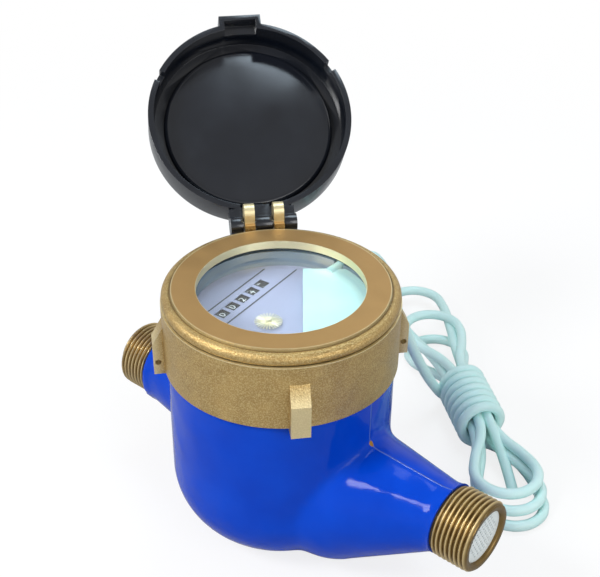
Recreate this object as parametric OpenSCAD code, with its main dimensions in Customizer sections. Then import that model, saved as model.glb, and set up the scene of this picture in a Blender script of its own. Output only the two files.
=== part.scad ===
// Multi-jet water meter with a dry dial and a pulse lead.
// A painted brass bowl with two threaded stubs, a cast ring with a hinged lid, and the works inside.
// The origin is the middle of the base. +X runs along the pipe to the inlet and +Z is up.

/* [Body casting] */
// Outside radius of the bowl
body_r = 40.8; // [38.5:0.1:46]
// Wall of the bowl
body_wall = 5; // [4:0.1:6.5]
// Thickness of the bowl's floor
floor_t = 6; // [4:0.5:8]
// Radius of the bowl's lower outside corner
corner_r = 27; // [18:0.5:28]
// Height of the shoulder under the ring
shoulder_z = 73.5; // [72:0.5:82]
// Height of the pipe axis above the base
pipe_z = 40.5; // [39:0.5:44]
// Register axis to the end of the inlet stub
inlet_len = 91; // [86:1:110]
// Register axis to the end of the outlet stub
outlet_len = 74; // [72:1:110]
// Outside radius of the pipe threads
thread_r = 13.22; // [13:0.01:16]
// Length of each pipe thread
thread_len = 14; // [10:0.5:16]
// Plain length behind each thread
collar_len = 4; // [2:0.5:8]
// Radius of the inlet stub behind its thread
inlet_collar_r = 12.6; // [11.5:0.1:14]
// Radius of the outlet stub behind its thread
outlet_collar_r = 14.6; // [12:0.1:16]
// Radius of the water way in each stub
port_r = 9; // [7:0.1:9.5]
// Radius of each mouth, where a strainer fits
mouth_r = 9.9; // [9.6:0.1:10.4]
// Radius of the inlet stub's root
inlet_root_r = 27; // [22:0.5:27]
// Radius of the outlet stub's root
outlet_root_r = 20; // [16:0.5:24]
// Outside radius of the threaded neck inside the ring
neck_r = 37.8; // [37:0.1:38]
// Height of the neck above the shoulder
neck_h = 16; // [12:0.5:16]
// Bore of the neck
neck_bore_r = 34.6; // [34.4:0.1:35.2]

/* [Measuring chamber] */
// Outside radius of the chamber cup
cup_r = 26.6; // [24:0.1:28]
// Wall of the chamber cup
cup_wall = 2.8; // [2:0.1:4]
// Height of the chamber cup
cup_h = 36; // [32:0.5:37]
// Number of jets in each row
jet_count = 9; // [6:1:12]
// Radius of each jet
jet_r = 2; // [1:0.1:2.6]
// Thickness of the chamber cover
cover_t = 3; // [2:0.1:4]
// Number of vanes on the impeller
vane_count = 7; // [5:1:9]
// Thickness of a vane
vane_t = 1.4; // [1:0.1:2]
// Height of a vane
vane_h = 18; // [12:0.5:22]
// Radius of the impeller's spindle
spindle_r = 1.5; // [1.2:0.1:2]
// Outside radius of the two coupling magnets
magnet_r = 6; // [4:0.1:8]
// Height of the two coupling magnets
magnet_h = 4; // [3:0.1:4.5]

/* [Register] */
// Turn of the dial about the register axis, in degrees
dial_turn = 96; // [90:1:102]
// Thickness of the plate that keeps the water out of the register
plate_t = 3.5; // [2.5:0.1:5]
// Outside radius of the register can
can_r = 33.6; // [33:0.1:34]
// Height of the register can
can_h = 30.4; // [30:0.1:33]
// Depth of the dial below the can's rim
dial_depth = 6; // [5.4:0.1:6.6]
// Thickness of the dial plate
dial_t = 1.6; // [1.4:0.1:2]
// Thickness of the lower gear plate
gear_plate_t = 1.2; // [1:0.1:2]
// Tooth size of the gears, as pitch diameter over teeth
gear_module = 0.35; // [0.34:0.005:0.355]
// Thickness of each gear wheel
gear_t = 1.2; // [0.8:0.1:1.4]
// Radius of the gear spindles
arbor_r = 0.6; // [0.5:0.05:0.7]
// Number of number drums
drum_count = 5; // [4:1:5]
// Radius of a number drum
drum_r = 4.5; // [4.2:0.1:4.6]
// Width of a number drum
drum_w = 5.3; // [4.8:0.1:5.5]
// Distance from drum to drum
drum_pitch = 5.9; // [5.6:0.1:6]
// Distance of the drum row from the register axis
drum_row_y = 16.8; // [16.4:0.1:17]
// Radius of the star indicator
star_r = 4.9; // [4:0.1:5.4]
// Number of points on the star indicator
star_points = 12; // [8:1:16]
// Distance of the sensor's straight edge from the register axis
sensor_edge = 7.7; // [7:0.1:10]
// How far the sensor block runs along that edge, past its middle
sensor_run = 22; // [19:0.1:26]
// Height of the sensor block
sensor_h = 5; // [4:0.1:5.3]

/* [Window and ring] */
// Radius of the window opening
window_r = 29.6; // [27:0.1:31]
// Thickness of the glass
glass_t = 5.5; // [4:0.1:7]
// Thickness of the gasket on the glass
gasket_t = 0.6; // [0.4:0.1:1.2]
// Thickness of the ring's top flange
flange_t = 3; // [2:0.1:5]
// Outside radius of the ring
ring_r = 42; // [41.6:0.1:44]
// Radius of the ring's flat top face
top_face_r = 38.2; // [38:0.1:38.6]
// Width of each lug
lug_w = 6.7; // [5:0.1:9]
// How far each lug stands out
lug_out = 3.7; // [2.6:0.1:5]
// Radius of the seal wire holes in the side lugs
seal_hole_r = 1.1; // [0.8:0.1:1.2]

/* [Lid and hinge] */
// Direction of the hinge from the register axis, in degrees
hinge_turn = 139; // [130:0.5:150]
// How far the lid stands open, in degrees
lid_open = 140; // [95:0.5:141]
// Outside radius of the lid
lid_r = 39.5; // [38:0.1:40]
// Height of the lid
lid_h = 15.5; // [13:0.1:20]
// Wall of the lid
lid_wall = 2.2; // [1.6:0.1:3]
// Radius of the raised disc inside the lid
lid_disc_r = 33.4; // [30:0.1:35]
// Width of the finger tab
tab_w = 16.5; // [10:0.1:22]
// How far the finger tab stands out
tab_out = 3.3; // [2:0.1:5]
// How far the hinge pin stands out from the ring's wall
pin_out = 3.8; // [3.6:0.1:6]
// Radius of the hinge pin
pin_r = 1.5; // [1.2:0.1:1.8]
// Outside radius of the hinge barrels
barrel_r = 3.2; // [2.8:0.1:3.4]
// Width of each brass ear
ear_w = 3.8; // [3.4:0.1:4.4]
// Width of each outer lid knuckle
knuckle_w = 4.7; // [4:0.1:6]
// Width of the lid knuckle between the ears
mid_knuckle_w = 6.4; // [5:0.1:7]
// Height of the ears above the pin
ear_h = 8.6; // [6:0.1:9]

/* [Cable] */
// Diameter of the cable
cable_d = 4.3; // [3.6:0.1:4.4]
// Direction in which the cable leaves the ring, in degrees
cable_turn = 90; // [88:0.5:92]

/* [Hidden] */

$fn = 64;

// Clearances
fit_gap = 0.05;
seat_gap = 0.3;
side_gap = 0.4;
over = 1;

// Colours
blue_paint = "#0a3cd7";
cast_brass = "#aa8c50";
white_plastic = "#e8ecee";
pale_plastic = "#d7f5f5";
black_plastic = "#15171c";
steel = "#b4b8bc";
magnet_grey = "#4a4a4e";
dial_white = "#d4d8ec";

// Heights, from the base up
ledge_t = 5;
ledge_top = pipe_z - 2.5;
plate_z = shoulder_z - 13;
can_z = plate_z + plate_t;
can_top = can_z + can_h;
dial_top = can_top - dial_depth;
dial_z = dial_top - dial_t;
glass_top = can_top + glass_t;
flange_z = glass_top + gasket_t;
ring_top = flange_z + flange_t;
ring_z = shoulder_z + seat_gap;
neck_top = shoulder_z + neck_h;

// Stubs
inlet_root = [28, inlet_root_r + 0.3];
inlet_end = [inlet_len - thread_len - collar_len, pipe_z];
outlet_root = [-30, pipe_z + 2.5];
outlet_end = [-(outlet_len - thread_len - collar_len), pipe_z];
thread_chamfer = 1;
collar_step = 0.3;
taper_inset = 0.1;
lower_r = body_r - body_wall;
ledge_hole_r = cup_r + fit_gap;
upper_r = neck_bore_r - 1.6;
elbow_back = 26;
elbow_r = port_r + 0.6;

// Strainer in the inlet
strainer_depth = 1.5;
strainer_t = 1.4;
strainer_len = 16;
strainer_wall = 1;
strainer_hole_r = 0.45;
strainer_pitch = 1.9;
strainer_rows = 5;
mouth_len = strainer_depth + strainer_len;

// Measuring chamber
cup_flange_t = 3;
cup_z = plate_z - 9.5 - cover_t - cup_h;
cup_top = cup_z + cup_h;
cup_floor_t = 3;
cup_in_r = cup_r - cup_wall;
vane_r = cup_in_r - 1.6;
hub_r = 4.5;
hub_rise = 1;
vane_lift = 0.5;
pivot_r = 1;
pivot_h = 9;
vane_z = cup_z + cup_floor_t + 3;
cover_top = cup_top + cover_t;
drive_magnet_z = cover_top + 0.8;
spindle_top = drive_magnet_z + magnet_h + 0.4;
seal_r = 0.9;
jet_slant = 40;

// Register can and its plates
can_floor_t = 1.6;
can_wall = 1.4;
can_step = 0.8;
can_bore_r = can_r - can_wall;
train_bore_r = can_bore_r - can_step;
lower_bore_r = train_bore_r - can_step;
gear_plate_z = can_z + can_floor_t + magnet_h + 2;
gear_plate_top = gear_plate_z + gear_plate_t;

// Gear train: levels, teeth and places in the dial's own frame
pulse_level = gear_plate_top + 0.8;
reduction_level = pulse_level + gear_t + 0.8;
worm_level = reduction_level + gear_t + 0.4;
star_level = worm_level + gear_t + 0.8;
pinion_teeth = 12;
star_teeth = 32;
pulse_teeth = 74;
reduction_teeth = 50;
worm_wheel_teeth = 50;
tooth_gap = 0.15;
star_angle = 180;
pulse_angle = -56;
reduction_angle = 17;
star_at = polar(centres(pinion_teeth, star_teeth), star_angle);
pulse_at = polar(centres(pinion_teeth, pulse_teeth), pulse_angle);
reduction_at = polar(centres(pinion_teeth, reduction_teeth), reduction_angle);
worm_r = 1.8;
drive_wheel_r = 2.9;
drive_wheel_teeth = 20;
worm_gap = 0.12;
worm_reach = centres(pinion_teeth, worm_wheel_teeth);
worm_y = drum_row_y - drive_wheel_r - worm_r - worm_gap;
worm_x = reduction_at[0] + sqrt(worm_reach * worm_reach - pow(worm_y - reduction_at[1], 2));
worm_at = [worm_x, worm_y];
worm_angle = atan2(worm_y - reduction_at[1], worm_x - reduction_at[0]);
pivot_depth = 0.9;
end_play = 0.1;
star_t = 1.4;
star_lift = 0.5;
star_notch = 0.72;
arbor_rise = star_lift + star_t + 0.3;
pulse_hub_r = 1.6;
pulse_hub_h = 2;
pulse_magnet_at = 4.6;
pulse_magnet_r = 2;
pulse_magnet_h = 8;

// Number drums
drum_z = dial_top - 0.3 - drum_r;
shaft_r = 1;
hanger_t = 1.2;
shaft_boss_r = 2;
carry_boss_r = 1.4;
drum_row_half = drum_count * drum_pitch / 2;
drive_hub_r = 1.8;
drive_wheel_w = 1.8;
hanger_left_x = -drum_row_half - 0.6 - hanger_t;
hanger_right_x = worm_x + drive_wheel_w / 2 + side_gap;
shaft_left_x = hanger_left_x - 0.5;
shaft_right_x = hanger_right_x + hanger_t + 0.5;
carry_r = 1.7;
carry_teeth = 8;
carry_w = 2.2;
carry_y = drum_row_y + drum_r + carry_r + 0.15;
carry_shaft_r = 0.7;

// Pulse sensor and its lead
sensor_r = can_bore_r - seat_gap;
sensor_turn = dial_turn + pulse_angle;
reed_r = 1.2;
reed_len = 14;
reed_offset = 17;
lead_z = (neck_top + can_top) / 2 + 0.25;
cable_r = cable_d / 2;
lead_in_r = 26;
grommet_r = cable_r + 1;
grommet_flange_r = cable_r + 2;
grommet_flange_t = 1;
grommet_nose = 2.6;
lead_out_r = ring_r + grommet_flange_t + grommet_nose;

// Ring
thread_bore_r = neck_r + seat_gap;
bead_r = 2.3;
bead_at = [ring_r - 2.6, ring_top - 3.1];
wall_top = ring_top - 5;
lug_low = -1.1;
lug_face_h = 12.5;
lug_slope_h = 7;
lug_root = 1;
lug_top_in = 0.2;
lug_turns = [hinge_turn + 90, hinge_turn + 180, hinge_turn + 270];
seal_hole_h = 5;

// Hinge, measured from the pin: +U points back to the register axis and +W is up
pin_z = ring_top - 1.7;
rim_w = ring_top + seat_gap - pin_z;
pin_offset = ring_r + pin_out;
lid_u = pin_offset;
ear_pitch = 2 * side_gap + mid_knuckle_w + ear_w;
ear_root_low = -10;
ear_root_high = 2;
pin_len = ear_pitch + ear_w + 2 * side_gap + 2 * knuckle_w;
knuckle_pitch = ear_pitch / 2 + ear_w / 2 + side_gap + knuckle_w / 2;
arm_t = 4.2;
lid_edge_r = 3;
lid_disc_t = 2.4;
lid_disc_edge_r = 1.8;
notch_turn = 61;
notch_w = 4.2;
notch_h = 3.8;
tab_h = 7;
tab_wall = 2;
tab_roof = 2;
slot_h = ear_h + 1.6;

// Cable on the table: points chosen by hand, from the grommet to the tied hank
lead_straight = 3.4;
lead_way = [cos(cable_turn), sin(cable_turn), 0];
lead_start = lead_out_r * lead_way + [0, 0, lead_z];
cable_points = [
    [0.3, 52.8, 90.6], [1, 56.2, 87], [1.9, 58.8, 81.8], [3.2, 61, 74.5], [4.6, 63.2, 66.5],
    [6, 65.8, 58.5], [7.2, 68.8, 50.5], [8.2, 72.2, 42.5], [9, 76, 34.6], [9.5, 80.2, 27],
    [9.9, 84.6, 19.8], [10.5, 89, 13.2], [11.6, 93, 7.6]];
cable_sides = 8;
hank_low = [71, 57];
hank_high = [-27, 135];
hank_long = [-47, 161];
hank_r = 15;
hank_loop_r = 11;
hank_h = 13;
wrap_at = 56;
wrap_len = 31;
wrap_w = 22;
wrap_h = 21.5;

// Gear helpers
function polar(r, a) = [r * cos(a), r * sin(a)];
function pitch_r(teeth) = gear_module * teeth / 2;
function centres(a, b) = pitch_r(a) + pitch_r(b);
// Turn of a gear that meets another one at angle a, so that a tooth meets a gap
function mesh_turn(a, other_turn, other_teeth, teeth) =
    a + 180 + (a - other_turn) * other_teeth / teeth + 180 / teeth;

// Flat outline of a gear with straight-sided teeth
module gear_outline(teeth) {
    pr = pitch_r(teeth);
    root = pr - 1.25 * gear_module;
    tip = pr + 0.8 * gear_module;
    half = (PI * gear_module / 2 - tooth_gap) / pr * 90 / PI;
    polygon([for (i = [0:teeth - 1], k = [0:3])
        polar(k == 1 || k == 2 ? tip : root,
              i * 360 / teeth + [-1.6, -0.55, 0.55, 1.6][k] * half)]);
}

module gear_wheel(teeth, z, t, turn) {
    translate([0, 0, z]) rotate([0, 0, turn]) linear_extrude(t) gear_outline(teeth);
}

// Half section of a bowl with a rounded lower corner
module bowl_section(r, corner, h) {
    translate([0, corner]) square([r, h - corner]);
    square([r - corner, h]);
    intersection() {
        translate([r - corner, corner]) circle(corner);
        square([r, corner]);
    }
}

// A ball at each end with the cone between them, in the XZ plane
module ball_taper(a, ra, b, rb) {
    d = norm(b - a);
    s = (ra - rb) / d;
    c = sqrt(1 - s * s);
    far = d + rb * s;
    translate([a[0], 0, a[1]]) rotate([0, atan2(b[0] - a[0], b[1] - a[1]), 0]) rotate_extrude()
        intersection() {
            union() {
                circle(ra);
                translate([0, d]) circle(rb);
                polygon([[0, 0], [ra * c - taper_inset, ra * s], [rb * c - taper_inset, far], [0, far]]);
            }
            translate([0, -ra - over]) square([ra + over, d + ra + rb + 2 * over]);
        }
}

// A round bar along X from x0 to x1 at the pipe's height
module pipe_bar(x0, x1, r) {
    translate([min(x0, x1), 0, pipe_z]) rotate([0, 90, 0]) cylinder(h = abs(x1 - x0), r = r);
}

module pipe_cone(x0, x1, r0, r1) {
    translate([x0, 0, pipe_z]) rotate([0, x1 > x0 ? 90 : -90, 0]) cylinder(h = abs(x1 - x0), r1 = r0, r2 = r1);
}

// One water way: straight from the mouth, then slanted into the bowl
module water_way(mouth, side, target_z) {
    elbow = mouth - side * elbow_back;
    target = side * (lower_r - 4);
    run = norm([elbow - target, pipe_z - target_z]);
    pipe_bar(elbow, mouth + side * over, port_r);
    pipe_bar(mouth - side * mouth_len, mouth + side * over, mouth_r);
    translate([elbow, 0, pipe_z]) rotate([0, 90, 0]) sphere(elbow_r);
    translate([elbow, 0, pipe_z]) rotate([0, atan2(target - elbow, target_z - pipe_z), 0])
        cylinder(h = run, r = port_r);
}

// The taper from the bowl to a stub, trimmed inside the stub's collar
module stub_taper(root, root_r, end, collar_r) {
    reach = abs(end[0]) + collar_len / 2;
    intersection() {
        ball_taper(root, root_r, end, collar_r - collar_step);
        translate([min(0, sign(end[0]) * reach), -root_r - over, -over])
            cube([reach, 2 * (root_r + over), root[1] + root_r + 2 * over]);
    }
}

module stub_end(length, side, collar_r) {
    face = side * length;
    shoulder = side * (length - thread_len);
    pipe_bar(shoulder - side * collar_len, shoulder, collar_r);
    pipe_bar(shoulder - side * over, face - side * thread_chamfer, thread_r);
    pipe_cone(face - side * thread_chamfer, face, thread_r, thread_r - thread_chamfer);
}

module meter_body() {
    color(blue_paint) difference() {
        union() {
            rotate_extrude() bowl_section(body_r, corner_r, shoulder_z);
            translate([0, 0, shoulder_z - over]) cylinder(h = neck_h + over, r = neck_r);
            stub_taper(inlet_root, inlet_root_r, inlet_end, inlet_collar_r);
            stub_taper(outlet_root, outlet_root_r, outlet_end, outlet_collar_r);
            stub_end(inlet_len, 1, inlet_collar_r);
            stub_end(outlet_len, -1, outlet_collar_r);
        }
        translate([0, 0, floor_t]) rotate_extrude()
            bowl_section(lower_r, corner_r - body_wall, ledge_top - ledge_t - floor_t);
        cylinder_from(ledge_top - ledge_t - over, ledge_top + over, ledge_hole_r);
        cylinder_from(ledge_top, plate_z + over, upper_r);
        cylinder_from(plate_z, neck_top + over, neck_bore_r);
        water_way(inlet_len, 1, ledge_top - ledge_t - port_r - 1.5);
        water_way(-outlet_len, -1, ledge_top + port_r + 2.5);
    }
}

module cylinder_from(z0, z1, r) {
    translate([0, 0, z0]) cylinder(h = z1 - z0, r = r);
}

module inlet_strainer() {
    face = inlet_len - strainer_depth;
    basket_r = mouth_r - strainer_wall;
    color(white_plastic) difference() {
        pipe_bar(face - strainer_len, face, mouth_r);
        pipe_bar(face - strainer_len - over, face - strainer_t, basket_r);
        for (row = [-strainer_rows:strainer_rows], col = [-strainer_rows:strainer_rows]) {
            y = (col + (abs(row) % 2) / 2) * strainer_pitch;
            z = row * strainer_pitch * sin(60);
            if (norm([y, z]) < basket_r - 2 * strainer_hole_r)
                translate([face - strainer_t - over, y, pipe_z + z]) rotate([0, 90, 0])
                    cylinder(h = strainer_t + 2 * over, r = strainer_hole_r, $fn = 12);
        }
    }
}

// A ring of slanted jets through the chamber's wall
module jet_row(z, slant) {
    for (i = [0:jet_count - 1])
        rotate([0, 0, i * 360 / jet_count]) translate([cup_in_r - cup_wall, 0, z]) rotate([0, 90, slant])
            cylinder(h = 4 * cup_wall, r = jet_r, $fn = 24);
}

module measuring_chamber() {
    color(white_plastic) difference() {
        union() {
            cylinder_from(cup_z, cup_top, cup_r);
            cylinder_from(ledge_top, ledge_top + cup_flange_t, upper_r - fit_gap);
        }
        cylinder_from(cup_z + cup_floor_t, cup_top + over, cup_in_r);
        cylinder_from(cup_z - over, cup_z + cup_floor_t + over, pivot_r);
        jet_row(vane_z + jet_r + over, jet_slant);
        jet_row(ledge_top + cup_flange_t + jet_r + over, -jet_slant);
    }
}

module impeller_pivot() {
    color(steel) cylinder_from(cup_z, cup_z + cup_floor_t + pivot_h, pivot_r);
}

module impeller() {
    color(white_plastic) difference() {
        union() {
            cylinder_from(vane_z, vane_z + vane_h + hub_rise, hub_r);
            cylinder_from(vane_z + vane_h, spindle_top, spindle_r);
            for (i = [0:vane_count - 1])
                rotate([0, 0, i * 360 / vane_count]) translate([hub_r - over, -vane_t / 2, vane_z + vane_lift])
                    cube([vane_r - hub_r + over, vane_t, vane_h - vane_lift]);
        }
        cylinder_from(vane_z - over, cup_z + cup_floor_t + pivot_h + end_play, pivot_r + fit_gap);
    }
}

module drive_magnet() {
    color(magnet_grey) difference() {
        cylinder_from(drive_magnet_z, drive_magnet_z + magnet_h, magnet_r);
        cylinder_from(drive_magnet_z - over, spindle_top + over, spindle_r);
    }
}

module chamber_cover() {
    boss_r = spindle_r + 2;
    color(white_plastic) difference() {
        union() {
            cylinder_from(cup_top, cover_top, cup_r);
            cylinder_from(cup_top - 2, cup_top + over, boss_r);
            cylinder_from(cup_top - 2, cup_top + over, cup_in_r - fit_gap);
        }
        cylinder_from(cup_top - 2 - over, cover_top + over, spindle_r + fit_gap);
        difference() {
            cylinder_from(cup_top - 2 - over, cup_top, cup_in_r - fit_gap - 2);
            cylinder_from(cup_top - 2 - 2 * over, cup_top + over, boss_r);
        }
    }
}

module separator_plate() {
    color(cast_brass) difference() {
        cylinder_from(plate_z, can_z, neck_bore_r - fit_gap);
        rotate_extrude() translate([neck_bore_r - seal_r, plate_z + plate_t / 2])
            square([2 * seal_r, 2 * seal_r], center = true);
    }
}

module body_seal() {
    color(black_plastic) rotate_extrude() translate([neck_bore_r - seal_r, plate_z + plate_t / 2]) circle(seal_r);
}

module register_can() {
    color(white_plastic) difference() {
        cylinder_from(can_z, can_top, can_r);
        cylinder_from(can_z + can_floor_t, gear_plate_z + over, lower_bore_r);
        cylinder_from(gear_plate_z, dial_z + over, train_bore_r);
        cylinder_from(dial_z, can_top + over, can_bore_r);
        lead_bar(lead_in_r, can_r + over, cable_r);
        rotate([0, 0, cable_turn]) translate([lead_in_r, -cable_r, lead_z])
            cube([can_r + over - lead_in_r, cable_d, can_top - lead_z + over]);
    }
}

module gear_plate() {
    color(cast_brass) difference() {
        cylinder_from(gear_plate_z, gear_plate_top, train_bore_r - fit_gap);
        in_dial() {
            arbor_hole([0, 0], gear_plate_z, gear_plate_top);
            for (at = [star_at, pulse_at, reduction_at, worm_at]) arbor_hole(at, gear_plate_z, gear_plate_top);
        }
    }
}

// Turn from the dial's own frame to the meter's
module in_dial() {
    rotate([0, 0, dial_turn]) children();
}

module arbor_hole(at, z0, z1) {
    translate(at) cylinder_from(z0 - over, z1 + over, arbor_r + fit_gap);
}

// A spindle from the gear plate to its pivot in the dial
module arbor(top) {
    cylinder_from(gear_plate_z + end_play, top, arbor_r);
}

module follower_spindle() {
    color(steel) in_dial() {
        cylinder_from(can_z + can_floor_t + end_play, dial_z + pivot_depth - end_play, arbor_r);
        gear_wheel(pinion_teeth, pulse_level, star_level + gear_t - pulse_level, 0);
    }
}

module follower_magnet() {
    z = can_z + can_floor_t + 0.8;
    color(magnet_grey) difference() {
        cylinder_from(z, z + magnet_h, magnet_r);
        cylinder_from(z - over, z + magnet_h + over, arbor_r);
    }
}

module star_gear() {
    color(cast_brass) in_dial() translate(star_at) {
        arbor(dial_top + arbor_rise);
        gear_wheel(star_teeth, star_level, gear_t, mesh_turn(star_angle, 0, pinion_teeth, star_teeth));
    }
}

module star_indicator() {
    inner = star_notch * star_r;
    z = dial_top + star_lift;
    color(cast_brass) in_dial() translate(star_at) difference() {
        translate([0, 0, z]) linear_extrude(star_t)
            polygon([for (i = [0:2 * star_points - 1]) polar(i % 2 == 0 ? star_r : inner, i * 180 / star_points)]);
        cylinder_from(z - over, z + star_t + over, arbor_r);
    }
}

module pulse_wheel() {
    color(white_plastic) in_dial() translate(pulse_at) difference() {
        union() {
            arbor(dial_z + pivot_depth - end_play);
            gear_wheel(pulse_teeth, pulse_level, gear_t,
                       mesh_turn(pulse_angle, 0, pinion_teeth, pulse_teeth));
            cylinder_from(pulse_level, pulse_level + gear_t + pulse_hub_h, pulse_hub_r);
        }
        translate(polar(pulse_magnet_at, pulse_angle))
            cylinder_from(pulse_level - over, pulse_level + gear_t + over, pulse_magnet_r);
    }
}

module pulse_magnet() {
    color(magnet_grey) in_dial() translate(pulse_at + polar(pulse_magnet_at, pulse_angle))
        cylinder_from(pulse_level, pulse_level + pulse_magnet_h, pulse_magnet_r);
}

module reduction_gear() {
    color(white_plastic) in_dial() translate(reduction_at) {
        arbor(dial_z + pivot_depth - end_play);
        gear_wheel(reduction_teeth, reduction_level, gear_t,
                   mesh_turn(reduction_angle, 0, pinion_teeth, reduction_teeth));
        gear_wheel(pinion_teeth, reduction_level + gear_t - 0.1, gear_t + 0.9, 0);
    }
}

module worm_gear() {
    turns = 5;
    pitch = 2 * PI * drive_wheel_r / drive_wheel_teeth;
    groove = 0.4;
    color(white_plastic) in_dial() translate(worm_at) {
        arbor(dial_z + pivot_depth - end_play);
        gear_wheel(worm_wheel_teeth, worm_level, gear_t,
                   mesh_turn(worm_angle, 0, pinion_teeth, worm_wheel_teeth));
        translate([0, 0, drum_z - turns * pitch / 2]) rotate_extrude()
            polygon(concat([[0, 0]], [for (i = [0:2 * turns]) [worm_r - (i % 2 == 0 ? groove : 0), i * pitch / 2]],
                           [[0, turns * pitch]]));
    }
}

// Turn a piece made along Z so that it lies along the drums' shaft, at distance x along it
module on_shaft(x) {
    in_dial() translate([x, drum_row_y, drum_z]) rotate([0, 90, 0]) children();
}

module drum_drive_wheel() {
    hub_x = drum_x(1) + drum_w / 2;
    hub_len = worm_x + drive_wheel_w / 2 - hub_x;
    tooth = 0.5;
    color(white_plastic) on_shaft(hub_x) difference() {
        union() {
            cylinder(h = hub_len, r = drive_hub_r);
            translate([0, 0, hub_len - drive_wheel_w]) linear_extrude(drive_wheel_w)
                polygon([for (i = [0:drive_wheel_teeth - 1], k = [0:1])
                    polar(drive_wheel_r - (1 - k) * tooth, (i + k / 2) * 360 / drive_wheel_teeth)]);
        }
        translate([0, 0, -over]) cylinder(h = hub_len + 2 * over, r = shaft_r + fit_gap);
    }
}

// Drum 1 shows the units and is the one at the right
function drum_x(i) = drum_row_half - (i - 0.5) * drum_pitch;

module number_drum(i) {
    rim = 1;
    web = 1.6;
    hub = shaft_r + 0.9;
    color(black_plastic) on_shaft(drum_x(i) - drum_w / 2) difference() {
        cylinder(h = drum_w, r = drum_r);
        translate([0, 0, web]) difference() {
            cylinder(h = drum_w, r = drum_r - rim);
            translate([0, 0, -over]) cylinder(h = drum_w + 2 * over, r = hub);
        }
        translate([0, 0, -over]) cylinder(h = drum_w + 2 * over, r = shaft_r + fit_gap);
    }
}

module drum_shaft() {
    color(steel) on_shaft(shaft_left_x) cylinder(h = shaft_right_x - shaft_left_x, r = shaft_r);
}

module carry_pinions() {
    color(white_plastic) in_dial() translate([0, carry_y, drum_z]) rotate([0, 90, 0]) {
        translate([0, 0, hanger_left_x]) cylinder(h = hanger_right_x + hanger_t - hanger_left_x, r = carry_shaft_r);
        for (i = [1:drum_count - 1])
            translate([0, 0, (drum_x(i) + drum_x(i + 1) - carry_w) / 2]) linear_extrude(carry_w)
                polygon([for (k = [0:2 * carry_teeth - 1])
                    polar(k % 2 == 0 ? carry_r : carry_r - 0.7, k * 180 / carry_teeth)]);
    }
}

// Cheek under the dial that holds the ends of the drum shaft and the carry shaft
module hanger(x) {
    drop = dial_z - drum_z + over / 2;
    reach = carry_y - drum_row_y;
    translate([x, drum_row_y, drum_z]) rotate([90, 0, 90]) linear_extrude(hanger_t) {
        circle(shaft_boss_r);
        translate([reach, 0]) circle(carry_boss_r);
        translate([0, -carry_boss_r]) square([reach, carry_boss_r + drop]);
        translate([-shaft_boss_r, 0]) square([shaft_boss_r + reach + carry_boss_r, drop]);
    }
}

module dial_plate() {
    slot_l = 2 * drum_row_half + 1;
    slot_w = 7.6;
    color(dial_white) difference() {
        union() {
            cylinder_from(dial_z, dial_top, can_bore_r - fit_gap);
            in_dial() for (x = [hanger_left_x, hanger_right_x]) hanger(x);
        }
        in_dial() {
            translate([-slot_l / 2, drum_row_y - slot_w / 2, dial_z - over]) cube([slot_l, slot_w, dial_t + 2 * over]);
            arbor_hole(star_at, dial_z, dial_top);
            for (at = [[0, 0], pulse_at, reduction_at, worm_at])
                translate(at) cylinder_from(dial_z - over, dial_z + pivot_depth, arbor_r + fit_gap);
            translate([shaft_left_x - over, drum_row_y, drum_z]) rotate([0, 90, 0])
                cylinder(h = shaft_right_x - shaft_left_x + 2 * over, r = shaft_r);
            translate([hanger_left_x - over, carry_y, drum_z]) rotate([0, 90, 0])
                cylinder(h = hanger_right_x - hanger_left_x + hanger_t + 2 * over, r = carry_shaft_r);
        }
    }
}

// Place along the sensor's own direction, measured from the register axis
module at_sensor() {
    rotate([0, 0, sensor_turn]) children();
}

module pulse_sensor() {
    roof = 1.2;
    color(pale_plastic) difference() {
        intersection() {
            cylinder_from(dial_top, dial_top + sensor_h, sensor_r);
            at_sensor() translate([sensor_edge, -sensor_r, dial_top])
                cube([2 * sensor_r, sensor_r + sensor_run, sensor_h]);
        }
        at_sensor() translate([reed_offset - 2 * reed_r, -reed_len / 2 - 1, dial_top - over])
            cube([4 * reed_r, reed_len + 2, sensor_h - roof + over]);
        lead_bar(lead_in_r, can_r, cable_r);
    }
}

module reed_switch() {
    color("#9fc8a0") at_sensor() translate([reed_offset, reed_len / 2, dial_top + reed_r]) rotate([90, 0, 0])
        cylinder(h = reed_len, r = reed_r);
}

// A round bar along the cable's way out, between two distances from the register axis
module lead_bar(r0, r1, r) {
    rotate([0, 0, cable_turn]) translate([r0, 0, lead_z]) rotate([0, 90, 0]) cylinder(h = r1 - r0, r = r);
}

module sensor_lead() {
    color(pale_plastic) lead_bar(lead_in_r, lead_out_r, cable_r);
}

module window_glass() {
    color("#dcebf0", 0.35) cylinder_from(can_top, glass_top, can_bore_r + 0.8);
}

module window_gasket() {
    color(black_plastic) difference() {
        cylinder_from(glass_top, flange_z, can_bore_r + 0.8);
        cylinder_from(glass_top - over, flange_z + over, window_r + 0.4);
    }
}

module ring_section() {
    translate([thread_bore_r, ring_z]) square([ring_r - thread_bore_r, wall_top - ring_z]);
    translate([thread_bore_r, ring_z]) square([bead_at[0] - thread_bore_r, ring_top - 0.9 - ring_z]);
    translate([window_r, flange_z]) square([top_face_r - window_r, flange_t]);
    translate(bead_at) circle(bead_r);
}

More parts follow.
